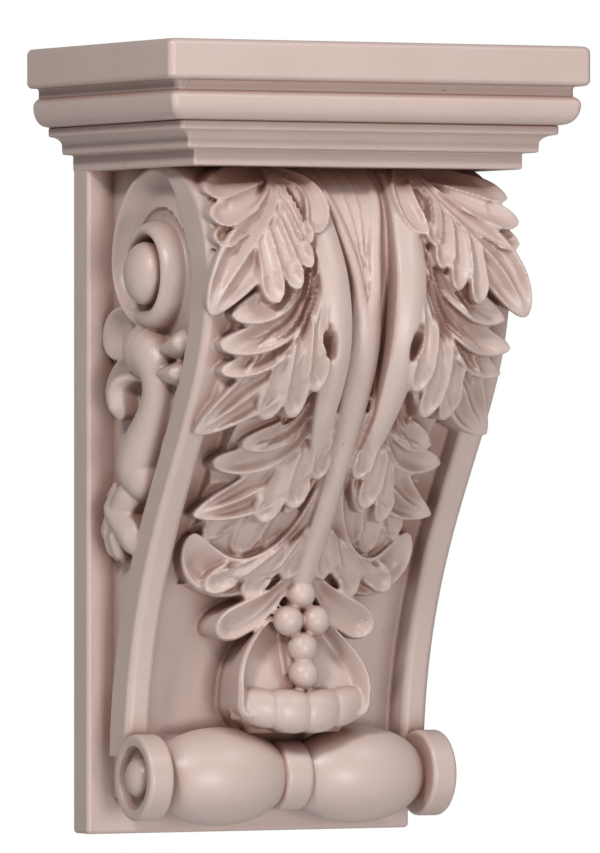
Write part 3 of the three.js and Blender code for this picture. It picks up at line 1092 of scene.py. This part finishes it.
@dataclass
class FootRoll:
    """The turned roll across the foot: two ovoids on a ring, between discs with a button in each end."""

    depth: float = 57.5
    height: float = 30.0
    disc: float = 22.0
    disc_inner: float = 73.8
    disc_outer: float = 87.5
    arris: float = 2.4
    ring: float = 17.7
    ring_half: float = 8.0
    ring_arris: float = 3.0
    ovoid_centre: float = 39.0
    ovoid_half: float = 39.0
    ovoid_radius: float = 25.0
    ovoid_gaps: Point = (0.4, 0.6)
    ovoid_steps: int = 26
    button: float = 10.5
    button_proud: float = 2.5
    recess: float = 5.0
    rim: float = 16.0
    sides: int = 72

    def profile(self) -> list[Point]:
        """Give one half's places across and radii, from the middle out.

        Returns:
            The places.
        """

        def rounded(across: float, radius: float, size: float, start: float, end: float) -> list[Point]:
            """Give points round an arris."""
            turns = [math.radians(mix(start, end, i / 4)) for i in range(5)]
            return [(across + size * math.cos(t), radius + size * math.sin(t)) for t in turns]

        def swell(across: float) -> float:
            """Give the ovoid's radius."""
            return self.ovoid_radius * math.sqrt(1 - ((across - self.ovoid_centre) / self.ovoid_half) ** 2)

        first, last = self.ring_half + self.ovoid_gaps[0], self.disc_inner - self.ovoid_gaps[1]
        spots = [mix(first, last, i / self.ovoid_steps) for i in range(self.ovoid_steps + 1)]
        ovoid = [(across, swell(across)) for across in spots]
        size = self.ring_arris
        collar = [(0.0, self.ring), *rounded(self.ring_half - size, self.ring - size, size, 90, 10)]
        face = self.disc_outer
        disc = rounded(self.disc_inner + self.arris, self.disc - self.arris, self.arris, 180, 90)
        disc += rounded(face - self.arris, self.disc - self.arris, self.arris, 90, 0)
        sunk = [(face - 0.2, self.rim + 0.6), (face - 1.0, self.rim), (face - self.recess, self.rim - 1.2)]
        bottom = [(face - self.recess, self.button + 0.6)]
        dome = [math.radians(mix(0, 90, i / 7)) for i in range(8)]
        reach = self.recess + self.button_proud
        button = [(face - self.recess + reach * math.sin(t), self.button * math.cos(t)) for t in dome]
        return collar + ovoid + disc + sunk + bottom + button

    def build(self) -> bpy.types.Object:
        """Turn the roll as a closed piece.

        Returns:
            The roll.
        """
        half = self.profile()
        whole = [(-across, radius) for across, radius in reversed(half[1:])] + half
        lump = bmesh.new()
        line = [place(across, self.depth, self.height + max(radius, 0.0)) for across, radius in whole]
        corners = [lump.verts.new(point) for point in line]
        edges = [lump.edges.new(pair) for pair in zip(corners, corners[1:])]
        bmesh.ops.spin(
            lump,
            geom=corners + edges,
            cent=place(0, self.depth, self.height),
            axis=(1, 0, 0),
            angle=2 * math.pi,
            steps=self.sides,
            use_merge=True,
        )
        bmesh.ops.remove_doubles(lump, verts=lump.verts[:], dist=1e-6)
        bmesh.ops.recalc_face_normals(lump, faces=lump.faces[:])
        return piece_of(lump, "roll")


class Wire:
    """A shader socket that takes part in Python sums."""

    def __init__(self, tree: bpy.types.NodeTree, socket: bpy.types.NodeSocket) -> None:
        """Wrap an output socket of a tree."""
        self.tree = tree
        self.socket = socket

    def sum(self, operation: str, first: "Wire | float", second: "Wire | float") -> "Wire":
        """Add a Math node.

        Args:
            operation: The node's operation.
            first: Its first value.
            second: Its second value.

        Returns:
            The node's result.
        """
        return Bench(self.tree).node("ShaderNodeMath", {"operation": operation}, {0: first, 1: second})

    def __add__(self, other: "Wire | float") -> "Wire":
        """Add."""
        return self.sum("ADD", self, other)

    __radd__ = __add__

    def __mul__(self, other: "Wire | float") -> "Wire":
        """Multiply."""
        return self.sum("MULTIPLY", self, other)

    __rmul__ = __mul__

    def __sub__(self, other: "Wire | float") -> "Wire":
        """Take another value away."""
        return self.sum("SUBTRACT", self, other)

    def __rsub__(self, other: "Wire | float") -> "Wire":
        """Be taken away from another value."""
        return self.sum("SUBTRACT", other, self)

    def __lt__(self, other: "Wire | float") -> "Wire":
        """Give 1 where this is the smaller."""
        return self.sum("LESS_THAN", self, other)

    def __gt__(self, other: "Wire | float") -> "Wire":
        """Give 1 where this is the greater."""
        return self.sum("GREATER_THAN", self, other)


@dataclass(frozen=True)
class Bench:
    """A node tree being wired."""

    tree: bpy.types.NodeTree

    def node(self, kind: str, settings: dict, inputs: dict, output: int | str = 0) -> Wire:
        """Add a node.

        Args:
            kind: The node's type.
            settings: Its settings, set before its sockets.
            inputs: Values or wires by socket name or number.
            output: The output that is wanted.

        Returns:
            That output.
        """
        made = self.tree.nodes.new(kind)
        for name, value in settings.items():
            setattr(made, name, value)
        for name, value in inputs.items():
            if isinstance(value, Wire):
                self.tree.links.new(value.socket, made.inputs[name])
            else:
                made.inputs[name].default_value = value
        return Wire(self.tree, made.outputs[output])


@dataclass(frozen=True)
class CastFinish:
    """Cast polyurethane in a dusty rose tan: a satin skin with a pimple, soft waves and a few pinholes, with
    painted shade darkening its creases and pinholes.
    """

    name: str = "rose_tan_polyurethane"
    light: tuple[float, float, float, float] = (0.608, 0.482, 0.443, 1.0)
    deep: tuple[float, float, float, float] = (0.533, 0.403, 0.360, 1.0)
    # crease is a painted shade colour: the darker brown laid into creases and hollows that ambient occlusion
    # finds closed in
    crease: tuple[float, float, float, float] = (0.27, 0.135, 0.10, 1.0)
    # pinhole is the painted shade colour inside the pinholes, which are also dents in the bump
    pinhole: tuple[float, float, float, float] = (0.16, 0.095, 0.075, 1.0)
    roughness: float = 0.41
    specular: float = 0.55
    coat: float = 0.05
    coat_roughness: float = 0.25
    cloud_scale: float = 22.0
    cloud_tone: float = 0.7
    wave_scale: float = 90.0
    wave_relief: float = 0.5
    pimple_scale: float = 850.0
    pimple_tone: float = 0.3
    pimple_relief: float = 0.45
    hole_scale: float = 120.0
    hole_size: float = 0.055
    hole_lot: float = 0.80
    pinhole_shade_strength: float = 0.85
    # How far ambient occlusion looks, and how strongly the painted crease shade darkens the colour
    painted_shade_reach: float = 0.014
    painted_shade_open: float = 0.9
    painted_shade_shut: float = 0.3
    painted_shade_strength: float = 0.95
    rough_spread: float = 0.10
    bump_strength: float = 0.5
    bump_depth: float = 0.0006

    def material(self) -> bpy.types.Material:
        """Wire the material.

        Returns:
            The material.
        """
        material = bpy.data.materials.new(self.name)
        material.use_nodes = True
        bench = Bench(material.node_tree)
        shader = material.node_tree.nodes["Principled BSDF"]
        spot = bench.node("ShaderNodeTexCoord", {}, {}, "Object")

        def noise(scale: float, detail: float) -> Wire:
            """Add a noise."""
            return bench.node("ShaderNodeTexNoise", {}, {"Vector": spot, "Scale": scale, "Detail": detail})

        def cells(output: str) -> Wire:
            """Add the cells that the pinholes sit in."""
            return bench.node("ShaderNodeTexVoronoi", {}, {"Vector": spot, "Scale": self.hole_scale}, output)

        def blend(share: Wire, first: Wire | tuple, second: tuple) -> Wire:
            """Blend two colours."""
            return bench.node("ShaderNodeMix", {"data_type": "RGBA"}, {0: share, 6: first, 7: second}, 2)

        cloud = noise(self.cloud_scale, 4.0)
        wave = noise(self.wave_scale, 2.0)
        pimple = noise(self.pimple_scale, 2.0)
        # The pinholes: dents in the bump, darkened in colour with painted shade
        hole = (cells("Distance") < self.hole_size) * (cells("Color") > self.hole_lot)
        reach = {"Distance": self.painted_shade_reach}
        # Painted shade: ambient occlusion darkens the base colour towards the crease brown in creases and
        # hollows
        open_air = bench.node("ShaderNodeAmbientOcclusion", {"samples": 8}, reach, "AO")
        span = {0: open_air, 1: self.painted_shade_open, 2: self.painted_shade_shut, 3: 0.0, 4: self.painted_shade_strength}
        shade = bench.node("ShaderNodeMapRange", {}, span)
        skin = blend(cloud * self.cloud_tone + pimple * self.pimple_tone, self.deep, self.light)
        colour = blend(hole * self.pinhole_shade_strength, blend(shade, skin, self.crease), self.pinhole)
        relief = {"Height": wave * self.wave_relief + pimple * self.pimple_relief - hole}
        relief |= {"Strength": self.bump_strength, "Distance": self.bump_depth}
        bump = bench.node("ShaderNodeBump", {}, relief)
        rough = (cloud + pimple) * self.rough_spread + (self.roughness - self.rough_spread)
        material.node_tree.links.new(colour.socket, shader.inputs["Base Color"])
        material.node_tree.links.new(rough.socket, shader.inputs["Roughness"])
        material.node_tree.links.new(bump.socket, shader.inputs["Normal"])
        shader.inputs["Specular IOR Level"].default_value = self.specular
        shader.inputs["Coat Weight"].default_value = self.coat
        shader.inputs["Coat Roughness"].default_value = self.coat_roughness
        return material


@dataclass
class Corbel:
    """The whole casting."""

    voxel: float = 0.8
    coarse_voxel: float = 1.6
    carving_faces: int = 150_000
    smooth_rounds: int = 3
    sharp_angle: float = math.radians(50)
    finish: CastFinish = CastFinish()

    def carving(self) -> bpy.types.Object:
        """Gather and fuse everything that was carved in the pattern.

        Returns:
            The carving.
        """
        line = FrontLine()
        clay = Clay()
        Core(line).build(clay)
        Scroll(line).build(clay)
        LeafCarving(FrontGround(line)).build(clay)
        BeadDrop(line).build(clay)
        SideOrnament().build(clay)
        piece = clay.piece("corbel_casting")
        skin = piece.modifiers.new("skin", "REMESH")
        skin.mode = "VOXEL"
        skin.voxel_size = self.voxel * MM
        ease_off = piece.modifiers.new("ease", "SMOOTH")
        ease_off.factor = 0.5
        ease_off.iterations = self.smooth_rounds
        settle(piece)
        thin = piece.modifiers.new("thin", "DECIMATE")
        thin.ratio = min(1.0, self.carving_faces / (2 * len(piece.data.polygons)))
        settle(piece)
        return piece

    def build(self) -> bpy.types.Object:
        """Make the casting as one closed piece, and dress it.

        Returns:
            The piece.
        """
        piece = self.carving()
        for made in (BackPlate(), Cap(), FootRoll()):
            fuse(piece, made.build())
        piece.data.shade_smooth()
        piece.data.set_sharp_from_angle(angle=self.sharp_angle)
        level = piece.modifiers.new("level", "WEIGHTED_NORMAL")
        level.keep_sharp = True
        settle(piece)
        piece.data.materials.clear()
        piece.data.materials.append(self.finish.material())
        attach(piece, BODY)
        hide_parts(NODE)
        return piece


@dataclass(frozen=True)
class Lamp:
    """A square soft light aimed at the corbel."""

    name: str
    spot: tuple[float, float, float]
    size: float
    power: float

    def hang(self) -> None:
        """Hang the light in its place."""
        light = bpy.data.lights.new(self.name, "AREA")
        light.size = self.size
        light.energy = self.power
        lamp = bpy.data.objects.new(self.name, light)
        lamp.location = self.spot
        lamp.rotation_euler = (-Vector(self.spot)).to_track_quat("-Z", "Y").to_euler()
        bpy.context.scene.collection.objects.link(lamp)


@dataclass
class Studio:
    """A pale floor, soft light and the camera at the photograph's angle."""

    azimuth: float = math.radians(-27)
    distance: float = 4.8
    lens: float = 566.0
    sensor: float = 36.0
    aim: tuple[float, float, float] = (1.4, 70.0, 207.8)
    floor_drop: float = 0.75
    floor_size: float = 8.0
    floor_tone: float = 0.86
    floor_roughness: float = 0.9
    glow: float = 0.16
    lamps: tuple[Lamp, ...] = (
        Lamp("left", (-1.4, -1.2, 1.35), 0.4, 28.0),
        Lamp("right", (0.7, -1.5, 1.5), 0.4, 8.0),
        Lamp("front", (-0.3, -2.4, -0.3), 0.6, 23.0),
    )

    def camera(self) -> None:
        """Set the camera level, to the left of the corbel."""
        lens = bpy.data.cameras.new("camera")
        lens.lens = self.lens
        lens.sensor_width = self.sensor
        lens.sensor_fit = "HORIZONTAL"
        eye = bpy.data.objects.new("camera", lens)
        bearing = Vector((math.sin(self.azimuth), -math.cos(self.azimuth), 0.0))
        eye.location = place(*self.aim) + bearing * self.distance
        eye.rotation_euler = (math.pi / 2, 0.0, self.azimuth)
        bpy.context.scene.collection.objects.link(eye)
        bpy.context.scene.camera = eye

    def floor(self) -> None:
        """Lay the pale floor below the corbel."""
        lump = bmesh.new()
        bmesh.ops.create_grid(lump, x_segments=1, y_segments=1, size=self.floor_size / 2)
        bmesh.ops.translate(lump, vec=(0, 0, -self.floor_drop), verts=lump.verts[:])
        floor = piece_of(lump, "floor")
        paint = bpy.data.materials.new("pale_floor")
        paint.use_nodes = True
        shader = paint.node_tree.nodes["Principled BSDF"]
        shader.inputs["Base Color"].default_value = (*[self.floor_tone] * 3, 1.0)
        shader.inputs["Roughness"].default_value = self.floor_roughness
        floor.data.materials.append(paint)

    def backdrop(self) -> None:
        """Surround the corbel with white, dimmer as a light than as a backdrop."""
        world = bpy.data.worlds.new("white")
        world.use_nodes = True
        bench = Bench(world.node_tree)
        seen = bench.node("ShaderNodeLightPath", {}, {}, "Is Camera Ray")
        strength = seen * (1 - self.glow) + self.glow
        world.node_tree.nodes["Background"].inputs["Color"].default_value = (1.0, 1.0, 1.0, 1.0)
        world.node_tree.links.new(strength.socket, world.node_tree.nodes["Background"].inputs["Strength"])
        bpy.context.scene.world = world
        bpy.context.scene.view_settings.view_transform = "Standard"

    def build(self) -> None:
        """Set camera, light, floor and backdrop."""
        self.camera()
        for lamp in self.lamps:
            lamp.hang()
        self.floor()
        self.backdrop()


def main() -> None:
    """Set the studio, build the corbel and report it."""
    logging.basicConfig(level=logging.INFO, format="%(name)s: %(message)s")
    Studio().build()
    piece = Corbel().build()
    LOG.info("%s has %d faces", piece.name, len(piece.data.polygons))


if __name__ == "__main__":
    main()
